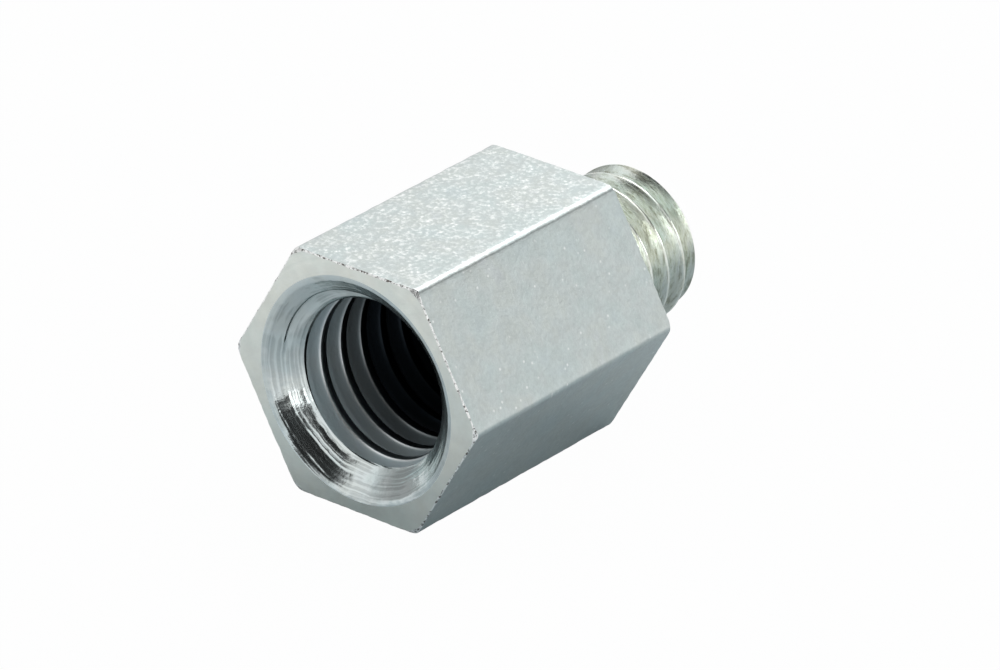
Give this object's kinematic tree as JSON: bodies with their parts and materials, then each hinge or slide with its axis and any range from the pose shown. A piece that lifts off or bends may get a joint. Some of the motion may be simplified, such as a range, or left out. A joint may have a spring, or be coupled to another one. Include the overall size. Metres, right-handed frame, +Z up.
{
  "type": "threaded reducer",
  "caption": "Hexagon threaded reducer in zinc-plated steel: a tapped blind hole in one end and a smaller threaded stud on the other, to join two thread sizes.",
  "frame": {"origin": "on the thread axis, in the plane of the shoulder where the stud leaves the hexagon body", "axes": "+X along the thread axis, from the tapped end to the stud's tip; +Z up, square to the flat that the part lies on; +Y completes a right-handed frame"},
  "size_m": [0.022, 0.0148, 0.013],
  "materials": {
    "zinc_plated_steel": "bright zinc plated: frosted on the drawn flats, turned on the ends, bright in the threads"
  },
  "bodies": {
    "root": {"reducer_body": "zinc_plated_steel"}
  },
  "joints": []
}
